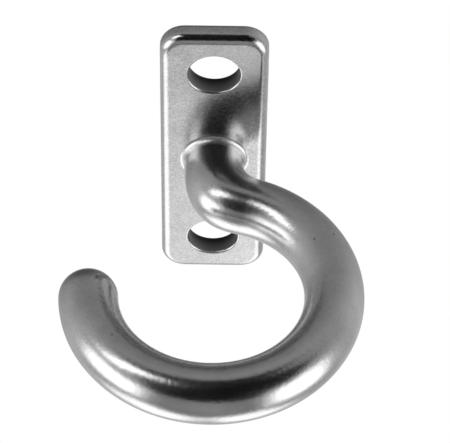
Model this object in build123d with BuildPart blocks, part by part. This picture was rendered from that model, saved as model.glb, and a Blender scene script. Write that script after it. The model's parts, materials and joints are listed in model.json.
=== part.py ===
from build123d import *
import os
from math import atan2, cos, degrees, radians, sin, sqrt

# Ceiling hook: one solid casting of polished stainless steel, in millimetres.
# The origin is the middle of the plate's back face, which lies against the ceiling, and +Z is up.
# The plate's long side runs along Y. The ring hangs in the XZ plane and opens toward -X.

# Mounting plate
screw_spacing = 40.0  # between the two screw holes
end_distance = 8.4  # from the middle of a screw hole to the end of the plate
plate_width = 17.5
plate_thickness = 3.5
corner_radius = 4.1  # of the plate's outline
front_edge_radius = 1.5  # rounding between the plate's face and its sides
back_edge_radius = 0.95
screw_hole_diameter = 8.3
hole_edge_radius = 0.35  # worn rim of a screw hole, on both faces

# Stem
stem_diameter = 10.0
stem_offset = 0.15  # the stem stands a touch off the plate's middle, toward the elbow
stem_length = 2.2  # straight stretch between the plate and the elbow
root_radius = 0.75  # fillet between the stem and the plate

# Elbow, which the forging has left thicker halfway round, most of all in the ring's own plane
elbow_inside_radius = 4.0
elbow_swell = 0.41  # added halfway round to the section's half width in the ring's plane
elbow_swell_across = 0.13  # and to its half width across that plane
elbow_swell_lean = 0.2  # how far the swelling in the ring's plane leans toward the ring
elbow_sections = 5  # oval sections that the elbow is lofted through, evenly spaced in angle

# Ring and its tip
rod_diameter = 9.6
ring_opening = 29.4  # inside diameter
tip_angle = 2.7  # degrees by which the rod stops short of the level of the ring's middle

plate_length = screw_spacing + 2 * end_distance
stem_radius = stem_diameter / 2
rod_radius = rod_diameter / 2
ring_radius = ring_opening / 2 + rod_radius  # of the rod's centre line

# The inside of the elbow is an arc that touches the stem's side and the outside of the ring.
elbow_x = stem_offset + stem_radius + elbow_inside_radius
elbow_z = -plate_thickness - stem_length
ring_to_elbow = ring_radius + rod_radius + elbow_inside_radius
ring_z = elbow_z - sqrt(ring_to_elbow**2 - elbow_x**2)
elbow_turn = atan2(elbow_z - ring_z, elbow_x)
ring_turn = degrees(elbow_turn) + 180 - tip_angle


def elbow_section(share):
    """Half widths of the oval section at a share of the elbow's turn, from 0 at the stem to 1.

    The first is across the ring's plane and the second in it. Both grow evenly smaller from the
    stem to the rod, and the swelling is a bump that starts and ends without a crease.
    """
    taper = stem_radius + (rod_radius - stem_radius) * share
    bump = 16 * share**2 * (1 - share) ** 2
    swell = elbow_swell + elbow_swell_lean * (2 * share - 1)
    return taper + bump * elbow_swell_across, taper + bump * swell


def elbow_plane(share):
    """Plane of that section, square to the way along the rod and through the inside arc's axis."""
    turn = elbow_turn * share
    reach = elbow_inside_radius + elbow_section(share)[1]
    middle = (elbow_x - reach * cos(turn), 0, elbow_z - reach * sin(turn))
    return Plane(origin=middle, x_dir=(0, 1, 0), z_dir=(sin(turn), 0, -cos(turn)))


def tip_plane():
    """Plane across the rod where it ends, facing along the rod."""
    turn = radians(180 - tip_angle)
    middle = (ring_radius * cos(turn), 0, ring_z - ring_radius * sin(turn))
    return Plane(origin=middle, x_dir=(0, 1, 0), z_dir=(-sin(turn), 0, -cos(turn)))


with BuildPart() as hook:
    # Plate
    with BuildSketch():
        RectangleRounded(plate_width, plate_length, corner_radius)
    extrude(amount=-plate_thickness)
    fillet(hook.faces().sort_by(Axis.Z)[0].edges(), radius=front_edge_radius)
    fillet(hook.faces().sort_by(Axis.Z)[-1].edges(), radius=back_edge_radius)

    # Screw holes, with both rims a little rounded
    with GridLocations(0, screw_spacing, 1, 2):
        Hole(radius=screw_hole_diameter / 2)
    rims = hook.edges(Select.LAST).filter_by(GeomType.CIRCLE)
    fillet(rims, radius=hole_edge_radius)

    # Stem and its root fillet
    with BuildSketch(Plane.XY.offset(-plate_thickness)):
        with Locations((stem_offset, 0)):
            Circle(stem_radius)
    extrude(amount=-stem_length)
    root = hook.edges(Select.LAST).filter_by(GeomType.CIRCLE).sort_by(Axis.Z)[-1]
    fillet(root, radius=root_radius)

    # Elbow
    for step in range(elbow_sections):
        share = step / (elbow_sections - 1)
        with BuildSketch(elbow_plane(share)):
            Ellipse(*elbow_section(share))
    loft()

    # Ring
    with BuildSketch(elbow_plane(1)):
        Circle(rod_radius)
    revolve(axis=Axis((0, 0, ring_z), (0, 1, 0)), revolution_arc=ring_turn)

    # Rounded tip, a half ball on the rod's end
    with Locations(tip_plane()):
        Sphere(rod_radius, arc_size1=0, align=None)

hook.part.label = "ceiling_hook"

os.makedirs("parts", exist_ok=True)
export_step(hook.part, "parts/ceiling_hook.step")
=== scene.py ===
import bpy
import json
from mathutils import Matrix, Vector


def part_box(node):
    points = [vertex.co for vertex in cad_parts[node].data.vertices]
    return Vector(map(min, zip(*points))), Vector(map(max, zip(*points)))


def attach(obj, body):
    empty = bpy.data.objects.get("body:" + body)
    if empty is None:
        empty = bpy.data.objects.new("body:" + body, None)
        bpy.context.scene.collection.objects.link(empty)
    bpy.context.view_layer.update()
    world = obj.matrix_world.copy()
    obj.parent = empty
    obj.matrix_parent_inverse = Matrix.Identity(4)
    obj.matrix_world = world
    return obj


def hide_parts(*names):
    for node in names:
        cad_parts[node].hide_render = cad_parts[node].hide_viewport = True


bl_info = {
    "name": "Ceiling hook",
    "version": (1, 0, 0),
    "blender": (4, 5, 0),
    "location": "3D View > Sidebar > Ceiling hook",
    "description": "Open round ceiling hook cast in stainless steel and tumble-polished, with its studio",
    "category": "Object",
}

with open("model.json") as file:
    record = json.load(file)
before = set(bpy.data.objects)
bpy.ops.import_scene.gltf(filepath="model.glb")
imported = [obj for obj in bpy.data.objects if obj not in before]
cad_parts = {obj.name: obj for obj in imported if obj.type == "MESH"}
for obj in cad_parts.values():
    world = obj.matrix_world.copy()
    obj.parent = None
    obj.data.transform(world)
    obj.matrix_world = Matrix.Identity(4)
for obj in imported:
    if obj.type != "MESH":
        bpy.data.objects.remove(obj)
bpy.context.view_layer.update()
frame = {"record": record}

import json
import math

import bmesh
import bpy
import numpy as np
from bpy.props import FloatProperty, FloatVectorProperty, PointerProperty, StringProperty
from mathutils import Matrix, Vector

NODE = "ceiling_hook"
MM = 0.001
NODE_LOW, NODE_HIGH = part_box(NODE)
SCREW_HOLES = next(m["dims"] for m in frame["record"]["mounts"] if m["name"] == "screw_holes")

# The photograph's width and the fitted focal length in pixels, and the sensor's width in millimetres
FRAME_WIDTH = 450
FOCAL_PIXELS = 2721.0
SENSOR_WIDTH = 36.0
NEAREST_SEEN = 0.01  # metres from the lens

# How finely the casting's surfaces are divided
SIDE_STEPS = 44  # round a hole or the rod, towards each long side of the plate
END_STEPS = 30  # and towards each end of the plate
RING_STEPS = 340
ELBOW_STEPS = 64
TIP_STEPS = 26
STEM_STEPS = 5
ARC_STEPS = 11  # across a rounded edge or fillet
WALL_STEPS = 7  # down the straight wall of a screw hole
FLAT_STEPS = [0, 0.03, 0.12, 0.3, 0.5, 0.7, 0.88, 0.97, 1]  # shares of the way across a flat
MERGE_DISTANCE = 1e-7
TINY = 1e-9

# Which finish a grid has: the order of the casting's materials
POLISHED, AS_CAST = 0, 1

# Soft waves of the cast skin: how many are added, their lengths as shares of the usual one, and how
# many wave depths the whole skin sinks, which keeps it inside the box of the faceted CAD model
WAVE_COUNT = 16
WAVE_LENGTHS = (0.7, 1.8)
SKIN_SINK = 1.6

# Heights between which the plate's skin turns into the root fillet's, and that into the rod's
FACE_TO_ROOT = (-3.5 * MM, -3.7 * MM)
ROOT_TO_ROD = (-4.3 * MM, -4.8 * MM)

# Heights between which painted shade darkens a screw hole's wall, most of all by the ceiling
BORE_SHADE_HEIGHTS = (-3.2 * MM, -0.9 * MM)

# The values between which most of a noise texture lies
NOISE_LOW, NOISE_HIGH = 0.3, 0.7

# What the grain adds to the steel's roughness and multiplies its colour by, from its lowest places to
# its highest, and how much of that speckle in the colour is left out on the rod
GRAIN_ROUGHNESS = (-0.03, 0.04)
SPECKLE = (0.82, 1.14)
SPECKLE_HIDDEN_ON_ROD = 0.65

# The share of a pit's radius that its deepest part takes up, and the roughness there, which is also
# the share of the pit's painted shade that shows
PIT_CORE = 0.3
PIT_STRENGTH = 0.55

# What the unevenness of a screw hole's wall adds to its roughness
BORE_GRAIN_ROUGHNESS = (-0.06, 0.08)

# How far lamps and boards stand from the hook, in metres, and the share of a lamp's width over which
# its light fades out at each edge
STUDIO_REACH = 0.5
FEATHER = 0.34

# Soft boxes: azimuth and elevation in degrees, width and height in metres where the light has faded
# to half, and radiance, where 1 would be white in a perfect mirror
SOFT_BOXES = {
    "right_box": (93, -33, 0.47, 0.35, 1.7),
    "left_box": (-88, -26, 0.35, 0.37, 1.7),
    "back_left_box": (-153, -24, 0.34, 0.32, 1.24),
    "back_right_box": (163, -26, 0.23, 0.33, 1.24),
    "small_box": (-35, -8.5, 0.31, 0.11, 2.3),
}

# Black boards round and behind the lens: azimuth, elevation, width and height
BLACK_BOARDS = {
    "lens_board": (7, -37, 0.92, 0.63),
    "upper_board": (-1, -3.5, 0.42, 0.26),
}
BOARD_COLOUR = "#0A0A0A"

# The floor: its width and the two distances from under the hook between which its paper turns into
# the backdrop, in metres, and how much of the way to white the camera sees the paper before that
FLOOR_WIDTH = 6.0
SWEEP = (0.35, 0.8)
PAPER_COLOUR = "#D2D2D2"
PAPER_WHITENESS = 0.7
BACKDROP_IN_STEEL = "#BEBEBE"
WHITE = "#FFFFFF"

# The room's colours by height, from level and below at 0 to overhead at 1. They grow darker upwards a
# little later on the right, so the height is measured along a slightly tilted way.
ROOM_UP = (-0.18, 0.0, 1.0)
ROOM_COLOURS = [
    (0.0, "#C4C4C4"),
    (0.36, "#DBDBDB"),
    (0.65, "#B9B9B9"),
    (0.84, "#969696"),
    (1.0, "#5E5E5E"),
]

# The room is dimmer towards the lens, in the world's -Y: the values of Y between which the dimming
# fades out, and the share of the light that is left at the first
DIMMED_BETWEEN = (-1.0, -0.1)
DIMMED_SHARE = 0.52

# The white backdrop behind the hook, as the steel sees it: azimuth and elevation in degrees, and the
# angles from there, in radians, between which it fades out
BACKDROP_WAY = (180, 41)
BACKDROP_FADE = (0.14, 0.28)


def hex_to_linear(colour):
    """Linear red, green, blue and alpha of an sRGB hex colour: the standard sRGB curve undone."""
    parts = np.array([int(colour[i:i + 2], 16) for i in (1, 3, 5)]) / 255
    linear = np.where(parts <= 0.04045, parts / 12.92, ((parts + 0.055) / 1.055) ** 2.4)
    return (*linear.tolist(), 1.0)


def set_stops(ramp, stops):
    """Gives a colour ramp those stops: each a position and an sRGB hex colour."""
    for position, colour in stops[1:-1]:
        ramp.elements.new(position)
    for element, (position, colour) in zip(ramp.elements, stops):
        element.position = position
        element.color = hex_to_linear(colour)


def add_node(tree, kind, inputs=None, **settings):
    """A node of that kind, with its settings, and each named input set to a value or linked to a socket."""
    made = tree.nodes.new(kind)
    for name, value in settings.items():
        setattr(made, name, value)
    for name, value in (inputs or {}).items():
        if isinstance(value, bpy.types.NodeSocket):
            tree.links.new(value, made.inputs[name])
        else:
            made.inputs[name].default_value = value
    return made


# Sizes and finish


def length(name, description, default):
    return FloatProperty(name=name, description=description, default=default, unit="LENGTH", precision=5)


def angle(name, description, degrees):
    default = math.radians(degrees)
    return FloatProperty(name=name, description=description, default=default, subtype="ANGLE")


def finish_colour(name, description, default):
    return StringProperty(name=name, description=description, default=default)


class HookSizes(bpy.types.PropertyGroup):
    """Sizes of the casting, in metres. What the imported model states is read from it."""

    plate_length: length("Plate length", "Along Y", NODE_HIGH.y - NODE_LOW.y)
    plate_width: length("Plate width", "Along X", 17.5 * MM)
    plate_thickness: length("Plate thickness", "Back face to front face", 3.5 * MM)
    corner_radius: length("Corner radius", "Of the plate's outline", 4.1 * MM)
    front_edge: length("Front edge", "Rounding round the plate's face", 1.5 * MM)
    back_edge: length("Back edge", "Rounding round the plate's back", 0.95 * MM)
    screw_spacing: length("Screw spacing", "Between the screw holes", SCREW_HOLES["spacing_y_mm"] * MM)
    hole_radius: length("Hole radius", "Of a screw hole", SCREW_HOLES["hole_r_mm"] * MM)
    hole_edge: length("Hole edge", "Worn rim of a screw hole", 0.35 * MM)
    stem_radius: length("Stem radius", "Of the straight stem", 5.0 * MM)
    stem_offset: length("Stem offset", "Of the stem from the plate's middle", 0.15 * MM)
    stem_length: length("Stem length", "Straight stretch under the plate", 2.2 * MM)
    root_radius: length("Root radius", "Fillet between stem and plate", 0.75 * MM)
    elbow_inside: length("Elbow inside", "Radius of the elbow's inner side", 4.0 * MM)
    elbow_swell: length("Elbow swell", "Extra half width halfway round, in the ring's plane", 0.41 * MM)
    elbow_swell_across: length("Swell across", "Extra half width across that plane", 0.13 * MM)
    elbow_swell_lean: length("Swell lean", "How far the swelling leans toward the ring", 0.2 * MM)
    rod_radius: length("Rod radius", "Of the ring's round section", 4.8 * MM)
    ring_opening: length("Ring opening", "Inside diameter of the ring", 29.4 * MM)
    tip_angle: angle("Tip angle", "How far the rod stops short of the level of the ring's middle", 2.7)
    unevenness: length("Unevenness", "Depth of the soft waves that casting leaves", 0.016 * MM)
    wavelength: length("Wavelength", "Usual length of those waves", 9.0 * MM)


class SteelFinish(bpy.types.PropertyGroup):
    """Tumble-polished stainless steel, as the eye sees it. Colours are sRGB hex."""

    colour: finish_colour("Colour", "Of the bare steel", "#C6C6C6")
    roughness: FloatProperty(name="Roughness", description="Of the polished stem and ring", default=0.225)
    plate_roughness: FloatProperty(name="Plate roughness", description="Of the flatter plate", default=0.21)
    # Painted highlight: the fillet round the stem is painted this lighter colour
    root_highlight_colour: finish_colour("Root colour", "Of the fillet round the stem", "#E4E4E4")
    root_roughness: FloatProperty(name="Root roughness", description="Of that fillet", default=0.4)
    # The real grain is finer than a pixel of the render, so it is drawn about twice as coarse.
    grain: length("Grain", "Width of the marks that the tumbling stones leave", 0.3 * MM)
    grain_depth: length("Grain depth", "Of those marks", 0.012 * MM)
    ripple: length("Ripple", "Width of the shallow dents left in the polished skin", 0.65 * MM)
    ripple_depth: length("Ripple depth", "Of those dents, on the rod", 0.02 * MM)
    worn_ripple_depth: length("Worn ripple depth", "Of those dents, on the plate", 0.005 * MM)
    bloom: length("Bloom", "Width of the faint grey clouds on the skin", 4.0 * MM)
    bloom_colour: finish_colour("Bloom colour", "Of those clouds", "#BABABA")
    pit_spacing: length("Pit spacing", "Cell in which at most one casting pit lies", 4.4 * MM)
    pit_radius: length("Pit radius", "Of a casting pit", 0.34 * MM)
    # Painted shade: the dark colour painted in each casting pit
    pit_shade_colour: finish_colour("Pit colour", "Of a casting pit", "#626262")
    bore_colour: finish_colour("Bore colour", "Of a screw hole's wall by the face", "#7A7A7A")
    # Painted shade: the screw hole's wall is painted this darker colour towards the ceiling
    bore_shade_colour: finish_colour("Deep bore colour", "Of that wall by the ceiling", "#303030")
    bore_roughness: FloatProperty(name="Bore roughness", description="Of a screw hole's wall", default=0.34)
    bore_grain: length("Bore grain", "Width of that wall's unevenness", 0.5 * MM)
    bore_grain_depth: length("Bore grain depth", "Of that unevenness", 0.03 * MM)


class StudioSetting(bpy.types.PropertyGroup):
    """Camera, floor and light. Angles are seen from the hook, with azimuth 0 towards -Y."""

    azimuth: angle("Azimuth", "Of the camera", -0.145)
    elevation: angle("Elevation", "Of the camera, below the hook", -40.527)
    roll: angle("Roll", "Of the camera", 0.626)
    distance: length("Distance", "From the camera to what it looks at", 441.407 * MM)
    looks_at: FloatVectorProperty(
        name="Looks at", description="Point at the picture's middle", default=(2.024 * MM, 0.0, -17.065 * MM),
        subtype="XYZ", unit="LENGTH", precision=5,
    )
    floor_level: length("Floor level", "Height of the floor, below the camera", -0.62)
    brightness: FloatProperty(name="Brightness", description="Of all the lamps together", default=1.0)


# The casting


def turn_angles(flat_half_width, cell_half_length):
    """Angles round the middle of one of the plate's three cells, a full turn from the lower right corner.

    The directions of the cell's four corners are among them, so neighbouring cells share every border
    point, and the steps between two corners are equal.
    """
    corner = math.atan2(cell_half_length, flat_half_width)
    corners = [-corner, corner, math.pi - corner, math.pi + corner, 2 * math.pi - corner]
    steps = [SIDE_STEPS, END_STEPS, SIDE_STEPS, END_STEPS]
    spans = [np.linspace(a, b, n, endpoint=False) for a, b, n in zip(corners, corners[1:], steps)]
    return np.concatenate(spans)


def cell_border(angles, half_width, below, above, round_below, round_above):
    """Where the ray at each angle from a cell's middle leaves the cell, and the outline's normal there.

    The ray stops at the nearer of the side line and the end line. Where that end is the plate's own,
    and the hit lies in a corner's square, the ray goes on to the corner's arc, by the root of the
    quadratic for a ray and a circle. A border shared by two cells has no normal.
    """
    ways = np.stack([np.cos(angles), np.sin(angles)], axis=-1)
    signs = np.where(ways >= 0, 1.0, -1.0)
    end = np.where(ways[:, 1] >= 0, above, below)
    corner = np.where(ways[:, 1] >= 0, round_above, round_below)
    spans = np.stack([np.full_like(end, half_width), end], axis=-1)
    reach = (spans / np.maximum(np.abs(ways), TINY)).min(axis=1)
    hits = ways * reach[:, None]
    arc_middles = signs * (spans - corner[:, None])
    in_corner = (corner > 0) & (np.abs(hits) > spans - corner[:, None]).all(axis=1)
    along = (ways * arc_middles).sum(axis=1)
    off = (arc_middles**2).sum(axis=1) - corner**2
    to_arc = along + np.sqrt(np.maximum(along**2 - off, 0))
    hits = np.where(in_corner[:, None], ways * to_arc[:, None], hits)
    on_side = np.abs(hits[:, 0]) > half_width - TINY
    on_end = ~on_side & (corner > 0)
    straight = np.stack([signs[:, 0] * on_side, signs[:, 1] * on_end], axis=-1)
    rounded = (hits - arc_middles) / np.maximum(corner, TINY)[:, None]
    return hits, np.where(in_corner[:, None], rounded, straight)


def quarter(steps=ARC_STEPS):
    """Sine and cosine over a quarter turn."""
    turn = np.linspace(0, math.pi / 2, steps)
    return np.sin(turn), np.cos(turn)


def rim_profile(sizes):
    """Across the plate's edge from the face to the back: distance outwards from the flat face, and height.

    A quarter circle of the front edge's radius, the straight side, and a quarter circle at the back.
    """
    sine, cosine = quarter()
    front, back = sizes.front_edge, sizes.back_edge
    outwards = np.concatenate([front * sine, front - back * (1 - cosine)])
    height = np.concatenate([front * (1 - cosine) - sizes.plate_thickness, back * (sine - 1)])
    return outwards, height


def hole_profile(sizes):
    """Down a screw hole's wall from the face to the back: radius and height.

    A quarter circle of the rim's radius, the straight wall, and a quarter circle at the back.
    """
    sine, cosine = quarter()
    edge, radius = sizes.hole_edge, sizes.hole_radius
    wall = np.linspace(edge - sizes.plate_thickness, -edge, WALL_STEPS)[1:-1]
    radii = np.concatenate([radius + edge * (1 - sine), radius + 0 * wall, radius + edge * (1 - cosine)])
    height = np.concatenate([edge * (1 - cosine) - sizes.plate_thickness, wall, edge * (sine - 1)])
    return radii, height


def circle(angles, radius, middle_x, middle_y):
    """Points at those angles round a circle."""
    return np.stack([middle_x + radius * np.cos(angles), middle_y + radius * np.sin(angles)], axis=-1)


def flat_between(inner, outer, height):
    """Flat grid from an inner loop to an outer loop, closer together at both, at one height."""
    flat = inner + (outer - inner) * np.array(FLAT_STEPS)[:, None, None]
    return np.concatenate([flat, np.full(flat.shape[:2] + (1,), height)], axis=-1)


def carried_round(border, normals, outwards, height):
    """Profile carried along the plate's outline: each border point moved out along its own normal."""
    across = border + normals * outwards[:, None, None]
    heights = np.broadcast_to(height[:, None, None], across.shape[:2] + (1,))
    return np.concatenate([across, heights], axis=-1)


def plate_grids(sizes, angles):
    """Grids of the plate's face, back, edge and hole walls, each with a flag for a closed turn and
    its finish."""
    flat_width = sizes.plate_width / 2 - sizes.front_edge
    flat_corner = sizes.corner_radius - sizes.front_edge
    half_spacing = sizes.screw_spacing / 2
    cell_half = half_spacing / 2
    end_reach = sizes.plate_length / 2 - half_spacing - sizes.front_edge
    to_back = sizes.front_edge - sizes.back_edge
    outwards, rim_height = rim_profile(sizes)
    wall_radii, wall_height = hole_profile(sizes)
    rim_of_hole = sizes.hole_radius + sizes.hole_edge
    root = sizes.stem_radius + sizes.root_radius
    # Each cell: its middle along Y, how far it reaches below and above that, and the corners' radii there.
    cells = [
        (-half_spacing, end_reach, cell_half, flat_corner, 0.0),
        (0.0, cell_half, cell_half, 0.0, 0.0),
        (half_spacing, cell_half, end_reach, 0.0, flat_corner),
    ]
    grids = []
    for middle, below, above, round_below, round_above in cells:
        hits, normals = cell_border(angles, flat_width, below, above, round_below, round_above)
        border = hits + [0.0, middle]
        shared = ~normals.any(axis=1)
        back = border + normals * to_back
        # The back's flat is wider than the face's, so the borders between cells are stretched to it.
        back[shared, 0] *= (flat_width + to_back) / flat_width
        has_hole = middle != 0
        if has_hole:
            front_loop = circle(angles, rim_of_hole, 0, middle)
            back_loop = front_loop
        else:
            front_loop = circle(angles, root, sizes.stem_offset, 0)
            back_loop = circle(angles, 0, 0, 0)
        grids.append((flat_between(front_loop, border, -sizes.plate_thickness), True, POLISHED))
        grids.append((flat_between(back_loop, back, 0.0), True, POLISHED))
        if has_hole:
            walls = [circle(angles, radius, 0, middle) for radius in wall_radii]
            heights = np.broadcast_to(wall_height[:, None, None], (len(walls), len(angles), 1))
            wall = np.concatenate([np.array(walls), heights], axis=-1)
            grids.append((wall[:ARC_STEPS], True, POLISHED))
            grids.append((wall[ARC_STEPS - 1:], True, AS_CAST))
        for run in edge_runs(shared):
            grids.append((carried_round(border[run], normals[run], outwards, rim_height), False, POLISHED))
    return grids


def edge_runs(shared):
    """Index arrays of the unbroken stretches of a cell's border that lie on the plate's own outline.

    The corners of a cell count as on the outline, so that the stretches of neighbouring cells meet.
    """
    count = len(shared)
    first = int(np.argmax(shared))
    order = (np.arange(count) + first) % count
    splits = np.flatnonzero(np.diff(shared[order].astype(int))) + 1
    return [part for part in np.split(order, splits) if not shared[part[0]]]


def rod_sections(sizes):
    """Every section from the plate to the tip: its middle, its outward way, and its half width
    along that way and across it.

    The root fillet and the stem stand on a straight axis. In the elbow the sections turn about the
    axis of its inner side and swell by the square of share times one minus share, more along than
    across. In the ring they turn about the ring's own middle, and at the tip they shrink along the
    rod by a cosine, as slices of a half ball.
    """
    sine, cosine = quarter()
    ring_radius = sizes.ring_opening / 2 + sizes.rod_radius
    elbow_x = sizes.stem_offset + sizes.stem_radius + sizes.elbow_inside
    elbow_z = -sizes.plate_thickness - sizes.stem_length
    ring_z = elbow_z - math.sqrt((ring_radius + sizes.rod_radius + sizes.elbow_inside) ** 2 - elbow_x**2)
    turn = math.atan2(elbow_z - ring_z, elbow_x)

    root_z = -sizes.plate_thickness - sizes.root_radius * (1 - cosine)
    stem_z = np.linspace(root_z[-1], elbow_z, STEM_STEPS)[1:]
    upper_z = np.concatenate([root_z, stem_z])
    upper_radius = sizes.stem_radius + np.concatenate([sizes.root_radius * (1 - sine), 0 * stem_z])
    straight = [np.full_like(upper_z, sizes.stem_offset), upper_z, 1 + 0 * upper_z, 0 * upper_z]
    upper = [*straight, upper_radius, upper_radius]

    share = np.linspace(0, 1, ELBOW_STEPS)[1:]
    taper = sizes.stem_radius + (sizes.rod_radius - sizes.stem_radius) * share
    bump = 16 * share**2 * (1 - share) ** 2
    along = taper + bump * (sizes.elbow_swell + sizes.elbow_swell_lean * (2 * share - 1))
    reach = sizes.elbow_inside + along
    ways = np.stack([np.cos(turn * share), np.sin(turn * share)])
    across = taper + bump * sizes.elbow_swell_across
    elbow = [elbow_x - reach * ways[0], elbow_z - reach * ways[1], *ways, along, across]

    around = np.linspace(turn, sizes.tip_angle - math.pi, RING_STEPS)[1:]
    ways = np.stack([np.cos(around), np.sin(around)])
    radius = np.full_like(around, sizes.rod_radius)
    ring = [ring_radius * ways[0], ring_z + ring_radius * ways[1], *ways, radius, radius]

    sine, cosine = quarter(TIP_STEPS)
    sine, cosine = sine[1:], cosine[1:]
    end_x, end_z, way_x, way_z = (column[-1] for column in ring[:4])
    tip = [
        end_x + sizes.rod_radius * sine * way_z,
        end_z - sizes.rod_radius * sine * way_x,
        way_x + 0 * sine,
        way_z + 0 * sine,
        sizes.rod_radius * cosine,
        sizes.rod_radius * cosine,
    ]
    return [np.concatenate(columns) for columns in zip(upper, elbow, ring, tip)]


def rod_grid(sizes, angles):
    """Ovals carried along the rod: each point is its section's middle, plus one half width times the
    cosine of its angle along the outward way, plus the other times the sine along Y."""
    middle_x, middle_z, way_x, way_z, along, across = (column[:, None] for column in rod_sections(sizes))
    x = middle_x + along * np.cos(angles) * way_x
    y = across * np.sin(angles)
    z = middle_z + along * np.cos(angles) * way_z
    return np.stack([x, y, z], axis=-1)


def grid_faces(rows, columns, start, closed):
    """Quads between neighbouring points of a grid of rows and columns, closed into a turn or open."""
    row = np.arange(rows - 1)[:, None] * columns + start
    column = np.arange(columns if closed else columns - 1)[None, :]
    after = (column + 1) % columns
    quads = [row + column, row + after, row + columns + after, row + columns + column]
    return np.stack(quads, axis=-1).reshape(-1, 4)


def mesh_from_grids(name, grids):
    """One closed mesh from grids that meet at shared points, which are merged."""
    points, faces, finishes, start = [], [], [], 0
    for grid, closed, finish in grids:
        rows, columns = grid.shape[:2]
        faces.append(grid_faces(rows, columns, start, closed))
        finishes.append(np.full(len(faces[-1]), finish))
        points.append(grid.reshape(-1, 3))
        start += rows * columns
    mesh = bpy.data.meshes.new(name)
    mesh.from_pydata(np.concatenate(points).tolist(), [], np.concatenate(faces).tolist())
    mesh.polygons.foreach_set("material_index", np.concatenate(finishes))
    work = bmesh.new()
    work.from_mesh(mesh)
    bmesh.ops.remove_doubles(work, verts=work.verts, dist=MERGE_DISTANCE)
    bmesh.ops.recalc_face_normals(work, faces=work.faces)
    work.to_mesh(mesh)
    work.free()
    mesh.polygons.foreach_set("use_smooth", np.ones(len(mesh.polygons), bool))
    return mesh


def cast_waves(points, wavelength, seed=7):
    """From 0 to 1 at each point: plane sine waves in seeded directions, added and squeezed by a tanh."""
    chance = np.random.default_rng(seed)
    ways = chance.normal(size=(WAVE_COUNT, 3))
    ways /= np.linalg.norm(ways, axis=1, keepdims=True)
    lengths = wavelength * chance.uniform(*WAVE_LENGTHS, WAVE_COUNT)
    phases = chance.uniform(0, 2 * math.pi, WAVE_COUNT)
    waves = np.sin(points @ (ways / lengths[:, None]).T * 2 * math.pi + phases).sum(axis=1)
    return 0.5 + 0.5 * np.tanh(waves / math.sqrt(WAVE_COUNT))


def sink_waves(mesh, depth, wavelength):
    """Moves each point inwards along its normal, and leaves the flat back as it is.

    Every point sinks by the same number of depths, and by up to one depth more with the cast waves.
    """
    count = len(mesh.vertices)
    points = np.empty(count * 3, np.float32)
    normals = np.empty(count * 3, np.float32)
    mesh.vertices.foreach_get("co", points)
    mesh.vertex_normals.foreach_get("vector", normals)
    points, normals = points.reshape(-1, 3), normals.reshape(-1, 3)
    on_back = points[:, 2] > -TINY
    depths = np.where(on_back, 0, depth * (SKIN_SINK + cast_waves(points, wavelength)))
    mesh.vertices.foreach_set("co", (points - normals * depths[:, None]).ravel())
    mesh.update()


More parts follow.
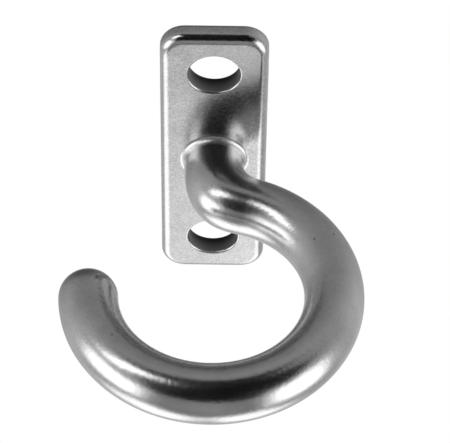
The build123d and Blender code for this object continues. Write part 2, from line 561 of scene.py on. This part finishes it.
def tumbled_stainless_steel(finish):
    """Stainless steel, investment cast and tumbled with fine stones until it shines.

    Lamps show in it as soft-edged streaks. Close up, the stones have left a fine even grain, which
    shows most on the plate, and shallow dents, which fray the edges of the streaks on the rod. The
    fillet round the stem, where the stones hardly reach, is duller, and a painted highlight makes it
    paler. Faint grey clouds lie on the skin, and here and there a small dark spot of painted shade
    marks a casting pit.
    """
    material = bpy.data.materials.new("tumbled_stainless_steel")
    material.use_nodes = True
    tree = material.node_tree
    tree.nodes.clear()
    place = add_node(tree, "ShaderNodeTexCoord").outputs["Object"]

    grain = add_node(
        tree, "ShaderNodeTexNoise",
        {"Vector": place, "Scale": 1 / finish.grain, "Detail": 2.0, "Roughness": 0.6},
    ).outputs["Fac"]
    ripple = add_node(
        tree, "ShaderNodeTexNoise",
        {"Vector": place, "Scale": 1 / finish.ripple, "Detail": 2.0, "Roughness": 0.55},
    ).outputs["Fac"]
    bloom = add_node(
        tree, "ShaderNodeTexNoise",
        {"Vector": place, "Scale": 1 / finish.bloom, "Detail": 4.0, "Roughness": 0.6},
    ).outputs["Fac"]
    cell = add_node(
        tree, "ShaderNodeTexVoronoi",
        {"Vector": place, "Scale": 1 / finish.pit_spacing, "Randomness": 1.0},
    )
    # Distance is in cells, so the pit's radius is divided by the cell's size.
    pit_reach = finish.pit_radius / finish.pit_spacing
    # Painted shade and roughness: a pit's mask, from nothing at its rim to the pit strength at its core
    in_pit = add_node(
        tree, "ShaderNodeMapRange",
        {
            "Value": cell.outputs["Distance"],
            "From Min": PIT_CORE * pit_reach,
            "From Max": pit_reach,
            "To Min": PIT_STRENGTH,
            "To Max": 0.0,
        },
        interpolation_type="SMOOTHSTEP",
    ).outputs["Result"]

    height = add_node(tree, "ShaderNodeSeparateXYZ", {"Vector": place}).outputs["Z"]
    off_face = add_node(
        tree, "ShaderNodeMapRange",
        {"Value": height, "From Min": FACE_TO_ROOT[0], "From Max": FACE_TO_ROOT[1]},
    ).outputs["Result"]
    on_rod = add_node(
        tree, "ShaderNodeMapRange",
        {"Value": height, "From Min": ROOT_TO_ROD[0], "From Max": ROOT_TO_ROD[1]},
    ).outputs["Result"]
    # Painted highlight: the band of the root fillet, between the face and the rod, that gets the lighter
    # colour
    root_highlight_share = add_node(
        tree, "ShaderNodeMath", {0: off_face, 1: on_rod}, operation="SUBTRACT"
    ).outputs["Value"]
    near_root = add_node(
        tree, "ShaderNodeMix", {"Factor": off_face, "A": finish.plate_roughness, "B": finish.root_roughness}
    ).outputs["Result"]
    smooth_skin = add_node(
        tree, "ShaderNodeMix", {"Factor": on_rod, "A": near_root, "B": finish.roughness}
    ).outputs["Result"]
    grain_share = add_node(
        tree, "ShaderNodeMapRange",
        {
            "Value": grain,
            "From Min": NOISE_LOW,
            "From Max": NOISE_HIGH,
            "To Min": GRAIN_ROUGHNESS[0],
            "To Max": GRAIN_ROUGHNESS[1],
        },
    ).outputs["Result"]
    skin = add_node(
        tree, "ShaderNodeMath", {0: smooth_skin, 1: grain_share}, operation="ADD"
    ).outputs["Value"]
    roughness = add_node(
        tree, "ShaderNodeMath", {0: skin, 1: in_pit}, operation="MAXIMUM"
    ).outputs["Value"]

    clouds = add_node(tree, "ShaderNodeValToRGB", {"Fac": bloom})
    set_stops(clouds.color_ramp, [(NOISE_LOW, finish.bloom_colour), (NOISE_HIGH, finish.colour)])
    speckle = add_node(
        tree, "ShaderNodeMapRange",
        {
            "Value": grain,
            "From Min": NOISE_LOW,
            "From Max": NOISE_HIGH,
            "To Min": SPECKLE[0],
            "To Max": SPECKLE[1],
        },
    ).outputs["Result"]
    hidden = add_node(
        tree, "ShaderNodeMapRange", {"Value": on_rod, "To Max": SPECKLE_HIDDEN_ON_ROD}
    ).outputs["Result"]
    faint_speckle = add_node(
        tree, "ShaderNodeMix", {"Factor": hidden, "A": speckle, "B": 1.0}
    ).outputs["Result"]
    # Painted highlight: the root fillet is painted the lighter root highlight colour
    lit_root = add_node(
        tree, "ShaderNodeMix",
        {"Factor": root_highlight_share, "A": clouds.outputs["Color"], "B": hex_to_linear(finish.root_highlight_colour)},
        data_type="RGBA",
    ).outputs["Result"]
    speckled = add_node(
        tree, "ShaderNodeVectorMath", {0: lit_root, "Scale": faint_speckle}, operation="SCALE"
    ).outputs["Vector"]
    # Painted shade: the casting pits are painted dark
    colour = add_node(
        tree, "ShaderNodeMix", {"Factor": in_pit, "A": speckled, "B": hex_to_linear(finish.pit_shade_colour)},
        data_type="RGBA",
    ).outputs["Result"]
    # The rubbing wore most of the dents off the flat plate.
    dent_depth = add_node(
        tree, "ShaderNodeMapRange",
        {"Value": on_rod, "To Min": finish.worn_ripple_depth, "To Max": finish.ripple_depth},
    ).outputs["Result"]
    dented = add_node(
        tree, "ShaderNodeBump", {"Height": ripple, "Strength": 1.0, "Distance": dent_depth}
    ).outputs["Normal"]
    marked = add_node(
        tree, "ShaderNodeBump",
        {"Height": grain, "Strength": 1.0, "Distance": finish.grain_depth, "Normal": dented},
    ).outputs["Normal"]
    surface = add_node(
        tree, "ShaderNodeBsdfPrincipled",
        {
            "Base Color": colour,
            "Metallic": 1.0,
            "Roughness": roughness,
            "Normal": marked,
        },
    )
    add_node(tree, "ShaderNodeOutputMaterial", {"Surface": surface.outputs["BSDF"]})
    return material


def as_cast_bore(finish):
    """The wall of a screw hole: stainless steel as it left the mould, where no stone could reach.

    It is dull and dark and a little rough to look at, and painted shade darkens it towards the ceiling.
    """
    material = bpy.data.materials.new("as_cast_bore")
    material.use_nodes = True
    tree = material.node_tree
    tree.nodes.clear()
    place = add_node(tree, "ShaderNodeTexCoord").outputs["Object"]
    skin = add_node(
        tree, "ShaderNodeTexNoise",
        {"Vector": place, "Scale": 1 / finish.bore_grain, "Detail": 3.0, "Roughness": 0.6},
    ).outputs["Fac"]
    roughness = add_node(
        tree, "ShaderNodeMapRange",
        {
            "Value": skin,
            "From Min": NOISE_LOW,
            "From Max": NOISE_HIGH,
            "To Min": finish.bore_roughness + BORE_GRAIN_ROUGHNESS[0],
            "To Max": finish.bore_roughness + BORE_GRAIN_ROUGHNESS[1],
        },
    ).outputs["Result"]
    relief = add_node(
        tree, "ShaderNodeBump", {"Height": skin, "Strength": 1.0, "Distance": finish.bore_grain_depth}
    ).outputs["Normal"]
    height = add_node(tree, "ShaderNodeSeparateXYZ", {"Vector": place}).outputs["Z"]
    depth = add_node(
        tree, "ShaderNodeMapRange",
        {"Value": height, "From Min": BORE_SHADE_HEIGHTS[0], "From Max": BORE_SHADE_HEIGHTS[1]},
    ).outputs["Result"]
    # Painted shade: the wall's colour darkens from the face towards the ceiling
    colour = add_node(
        tree, "ShaderNodeMix",
        {
            "Factor": depth,
            "A": hex_to_linear(finish.bore_colour),
            "B": hex_to_linear(finish.bore_shade_colour),
        },
        data_type="RGBA",
    ).outputs["Result"]
    surface = add_node(
        tree, "ShaderNodeBsdfPrincipled",
        {
            "Base Color": colour,
            "Metallic": 1.0,
            "Roughness": roughness,
            "Normal": relief,
        },
    )
    add_node(tree, "ShaderNodeOutputMaterial", {"Surface": surface.outputs["BSDF"]})
    return material


class OBJECT_OT_hook_casting(bpy.types.Operator):
    """Make the one-piece casting: plate, stem, elbow, ring and tip"""

    bl_idname = "object.hook_casting"
    bl_label = "Hook casting"

    def execute(self, context):
        sizes = context.scene.hook_sizes
        angles = turn_angles(sizes.plate_width / 2 - sizes.front_edge, sizes.screw_spacing / 4)
        grids = plate_grids(sizes, angles) + [(rod_grid(sizes, angles), True, POLISHED)]
        mesh = mesh_from_grids("hook_casting", grids)
        sink_waves(mesh, sizes.unevenness, sizes.wavelength)
        mesh.materials.append(tumbled_stainless_steel(context.scene.steel_finish))
        mesh.materials.append(as_cast_bore(context.scene.steel_finish))
        casting = bpy.data.objects.new("hook_casting", mesh)
        context.scene.collection.objects.link(casting)
        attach(casting, "root")
        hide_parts(NODE)
        return {"FINISHED"}


# The studio


def direction(azimuth, elevation):
    """Unit vector from the hook, for degrees of azimuth, 0 towards -Y and 90 towards +X, and elevation."""
    azimuth, elevation = math.radians(azimuth), math.radians(elevation)
    flat = math.cos(elevation)
    return Vector((math.sin(azimuth) * flat, -math.cos(azimuth) * flat, math.sin(elevation)))


def facing_hook(azimuth, elevation, target):
    """Matrix of a lamp or board out in that direction, with its -Z towards the hook."""
    away = direction(azimuth, elevation)
    turned = (-away).to_track_quat("-Z", "Y").to_matrix().to_4x4()
    return Matrix.Translation(target + away * STUDIO_REACH) @ turned


def fade_to_the_edges(lamp):
    """Soft light that fades out smoothly at the four edges of the lamp's cloth."""
    lamp.use_nodes = True
    tree = lamp.node_tree
    tree.nodes.clear()
    place = add_node(tree, "ShaderNodeNewGeometry").outputs["Parametric"]
    off_middle = add_node(
        tree, "ShaderNodeVectorMath", {0: place, 1: (0.5, 0.5, 0.0)}, operation="SUBTRACT"
    ).outputs["Vector"]
    apart = add_node(tree, "ShaderNodeVectorMath", {0: off_middle}, operation="ABSOLUTE").outputs["Vector"]
    parts = add_node(tree, "ShaderNodeSeparateXYZ", {"Vector": apart}).outputs
    fades = [
        add_node(
            tree, "ShaderNodeMapRange", {"Value": parts[axis], "From Min": 0.5, "From Max": 0.5 - FEATHER},
            interpolation_type="SMOOTHSTEP",
        ).outputs["Result"]
        for axis in "XY"
    ]
    share = add_node(
        tree, "ShaderNodeMath", {0: fades[0], 1: fades[1]}, operation="MULTIPLY"
    ).outputs["Value"]
    glow = add_node(tree, "ShaderNodeEmission", {"Strength": share}).outputs["Emission"]
    add_node(tree, "ShaderNodeOutputLight", {"Surface": glow})


def add_soft_box(name, brightness, target):
    """One soft box, whose full cloth is wider and higher than where its light has faded to half."""
    azimuth, elevation, lit_width, lit_height, radiance = SOFT_BOXES[name]
    width = lit_width / (1 - FEATHER)
    height = lit_height / (1 - FEATHER)
    lamp = bpy.data.lights.new(name, "AREA")
    lamp.shape = "RECTANGLE"
    lamp.size = width
    lamp.size_y = height
    # An area lamp's radiance is its power over four times its area.
    lamp.energy = 4 * width * height * radiance * brightness
    fade_to_the_edges(lamp)
    made = bpy.data.objects.new(name, lamp)
    made.matrix_world = facing_hook(azimuth, elevation, target)
    made.visible_camera = False
    bpy.context.scene.collection.objects.link(made)


def flat_board(name, width, height, matrix, material):
    """A rectangle in the matrix's XY plane, which belongs to the studio."""
    corners = np.array([[-1, -1, 0], [1, -1, 0], [1, 1, 0], [-1, 1, 0]]) / 2 * [width, height, 0]
    mesh = bpy.data.meshes.new(name)
    mesh.from_pydata(corners.tolist(), [], [(0, 1, 2, 3)])
    mesh.transform(matrix)
    mesh.materials.append(material)
    board = bpy.data.objects.new(name, mesh)
    bpy.context.scene.collection.objects.link(board)
    return board


def matt_paint(name, colour):
    """Matt paint on the boards of the studio: no gloss, one even colour."""
    material = bpy.data.materials.new(name)
    material.use_nodes = True
    surface = material.node_tree.nodes["Principled BSDF"]
    surface.inputs["Base Color"].default_value = hex_to_linear(colour)
    surface.inputs["Roughness"].default_value = 1.0
    surface.inputs["Specular IOR Level"].default_value = 0.0
    return material


def rays_that_see_the_backdrop(tree):
    """Light Path's outputs, and 1 for the rays that see the backdrop in metal or glass."""
    ray = add_node(tree, "ShaderNodeLightPath").outputs
    mirrored = add_node(
        tree, "ShaderNodeMath", {0: ray["Is Glossy Ray"], 1: ray["Is Transmission Ray"]}, operation="MAXIMUM"
    ).outputs["Value"]
    return ray, mirrored


def pale_sweep():
    """Pale matt paper that sweeps up into a white backdrop all round the studio.

    Near the hook it is paper lit by the lamps, which the camera sees most of the way to white, with
    the hook's shadow on it. Farther out it turns into the backdrop, which is white to the camera and
    light grey in the steel.
    """
    material = bpy.data.materials.new("pale_sweep")
    material.use_nodes = True
    tree = material.node_tree
    tree.nodes.clear()
    place = add_node(tree, "ShaderNodeTexCoord").outputs["Object"]
    flat = add_node(tree, "ShaderNodeMapping", {"Vector": place, "Scale": (1.0, 1.0, 0.0)}).outputs["Vector"]
    distance = add_node(tree, "ShaderNodeVectorMath", {0: flat}, operation="LENGTH").outputs["Value"]
    far = add_node(
        tree, "ShaderNodeMapRange", {"Value": distance, "From Min": SWEEP[0], "From Max": SWEEP[1]},
        interpolation_type="SMOOTHSTEP",
    ).outputs["Result"]
    ray, mirrored = rays_that_see_the_backdrop(tree)
    sees = add_node(
        tree, "ShaderNodeMath", {0: ray["Is Camera Ray"], 1: mirrored}, operation="MAXIMUM"
    ).outputs["Value"]
    on_backdrop = add_node(tree, "ShaderNodeMath", {0: far, 1: sees}, operation="MULTIPLY").outputs["Value"]
    pale_near = add_node(
        tree, "ShaderNodeMath", {0: ray["Is Camera Ray"], 1: PAPER_WHITENESS}, operation="MULTIPLY"
    ).outputs["Value"]
    share = add_node(
        tree, "ShaderNodeMath", {0: on_backdrop, 1: pale_near}, operation="MAXIMUM"
    ).outputs["Value"]
    colour = add_node(
        tree, "ShaderNodeMix",
        {"Factor": ray["Is Camera Ray"], "A": hex_to_linear(BACKDROP_IN_STEEL), "B": hex_to_linear(WHITE)},
        data_type="RGBA",
    ).outputs["Result"]
    paper = add_node(
        tree, "ShaderNodeBsdfPrincipled",
        {"Base Color": hex_to_linear(PAPER_COLOUR), "Roughness": 1.0, "Specular IOR Level": 0.0},
    ).outputs["BSDF"]
    backdrop = add_node(tree, "ShaderNodeEmission", {"Color": colour}).outputs["Emission"]
    surface = add_node(tree, "ShaderNodeMixShader", {0: share, 1: paper, 2: backdrop}).outputs["Shader"]
    add_node(tree, "ShaderNodeOutputMaterial", {"Surface": surface})
    return material


def studio_world():
    """White behind the hook, also in the steel, and elsewhere a pale room that is darker overhead."""
    world = bpy.data.worlds.new("studio")
    world.use_nodes = True
    tree = world.node_tree
    tree.nodes.clear()
    way = add_node(tree, "ShaderNodeTexCoord").outputs["Generated"]
    parts = add_node(tree, "ShaderNodeSeparateXYZ", {"Vector": way}).outputs
    height = add_node(
        tree, "ShaderNodeVectorMath", {0: way, 1: ROOM_UP}, operation="DOT_PRODUCT"
    ).outputs["Value"]
    room = add_node(tree, "ShaderNodeValToRGB", {"Fac": height})
    set_stops(room.color_ramp, ROOM_COLOURS)
    dimmer_by_lens = add_node(
        tree, "ShaderNodeMapRange",
        {
            "Value": parts["Y"],
            "From Min": DIMMED_BETWEEN[0],
            "From Max": DIMMED_BETWEEN[1],
            "To Min": DIMMED_SHARE,
            "To Max": 1.0,
        },
    ).outputs["Result"]
    dimmed_room = add_node(
        tree, "ShaderNodeVectorMath", {0: room.outputs["Color"], "Scale": dimmer_by_lens}, operation="SCALE"
    ).outputs["Vector"]
    behind = add_node(
        tree, "ShaderNodeVectorMath", {0: way, 1: tuple(direction(*BACKDROP_WAY))}, operation="DOT_PRODUCT"
    ).outputs["Value"]
    on_backdrop = add_node(
        tree, "ShaderNodeMapRange",
        {
            "Value": behind,
            "From Min": math.cos(BACKDROP_FADE[1]),
            "From Max": math.cos(BACKDROP_FADE[0]),
        },
        interpolation_type="SMOOTHSTEP",
    ).outputs["Result"]
    ray, mirrored = rays_that_see_the_backdrop(tree)
    backdrop_in_steel = add_node(
        tree, "ShaderNodeMath", {0: mirrored, 1: on_backdrop}, operation="MULTIPLY"
    ).outputs["Value"]
    white_share = add_node(
        tree, "ShaderNodeMath", {0: ray["Is Camera Ray"], 1: backdrop_in_steel}, operation="MAXIMUM"
    ).outputs["Value"]
    shown = add_node(
        tree, "ShaderNodeMix",
        {"Factor": white_share, "A": dimmed_room, "B": hex_to_linear(WHITE)},
        data_type="RGBA",
    ).outputs["Result"]
    background = add_node(tree, "ShaderNodeBackground", {"Color": shown})
    add_node(tree, "ShaderNodeOutputWorld", {"Surface": background.outputs["Background"]})
    return world


def add_camera(studio):
    """Camera at the fitted place, turned about its own axis by the roll."""
    data = bpy.data.cameras.new("photo_camera")
    data.sensor_width = SENSOR_WIDTH
    data.lens = FOCAL_PIXELS / FRAME_WIDTH * SENSOR_WIDTH
    data.clip_start = NEAREST_SEEN
    back = direction(math.degrees(studio.azimuth), math.degrees(studio.elevation))
    right = Vector((0, 0, 1)).cross(back).normalized()
    up = back.cross(right)
    level = Matrix((right, up, back)).transposed().to_4x4()
    camera = bpy.data.objects.new("photo_camera", data)
    place = Matrix.Translation(Vector(studio.looks_at) + back * studio.distance)
    camera.matrix_world = place @ level @ Matrix.Rotation(studio.roll, 4, "Z")
    bpy.context.scene.collection.objects.link(camera)
    bpy.context.scene.camera = camera


class SCENE_OT_hook_studio(bpy.types.Operator):
    """Set up the floor, the soft light and the camera"""

    bl_idname = "scene.hook_studio"
    bl_label = "Studio"

    def execute(self, context):
        studio = context.scene.hook_studio
        target = Vector((0, 0, (NODE_LOW.z + NODE_HIGH.z) / 2))
        for name in SOFT_BOXES:
            add_soft_box(name, studio.brightness, target)
        black = matt_paint("matt_black_board", BOARD_COLOUR)
        for name, (azimuth, elevation, width, height) in BLACK_BOARDS.items():
            matrix = facing_hook(azimuth, elevation, target)
            flat_board(name, width, height, matrix, black).visible_camera = False
        level = Matrix.Translation((0, 0, studio.floor_level))
        flat_board("floor", FLOOR_WIDTH, FLOOR_WIDTH, level, pale_sweep())
        context.scene.world = studio_world()
        context.scene.view_settings.view_transform = "Standard"
        add_camera(studio)
        return {"FINISHED"}


class VIEW3D_PT_ceiling_hook(bpy.types.Panel):
    """Lists the hook's sizes, its finish and its studio"""

    bl_label = "Ceiling hook"
    bl_idname = "VIEW3D_PT_ceiling_hook"
    bl_space_type = "VIEW_3D"
    bl_region_type = "UI"
    bl_category = "Ceiling hook"

    def draw(self, context):
        scene = context.scene
        for group, operator in (
            (scene.hook_sizes, "object.hook_casting"),
            (scene.steel_finish, None),
            (scene.hook_studio, "scene.hook_studio"),
        ):
            box = self.layout.box()
            for name in group.__annotations__:
                box.prop(group, name)
            if operator:
                box.operator(operator)


CLASSES = (
    HookSizes,
    SteelFinish,
    StudioSetting,
    OBJECT_OT_hook_casting,
    SCENE_OT_hook_studio,
    VIEW3D_PT_ceiling_hook,
)


def register():
    for made in CLASSES:
        bpy.utils.register_class(made)
    bpy.types.Scene.hook_sizes = PointerProperty(type=HookSizes)
    bpy.types.Scene.steel_finish = PointerProperty(type=SteelFinish)
    bpy.types.Scene.hook_studio = PointerProperty(type=StudioSetting)


def unregister():
    del bpy.types.Scene.hook_studio
    del bpy.types.Scene.steel_finish
    del bpy.types.Scene.hook_sizes
    for made in reversed(CLASSES):
        bpy.utils.unregister_class(made)


def main():
    register()
    bpy.ops.object.hook_casting()
    bpy.ops.scene.hook_studio()


if __name__ == "__main__":
    main()
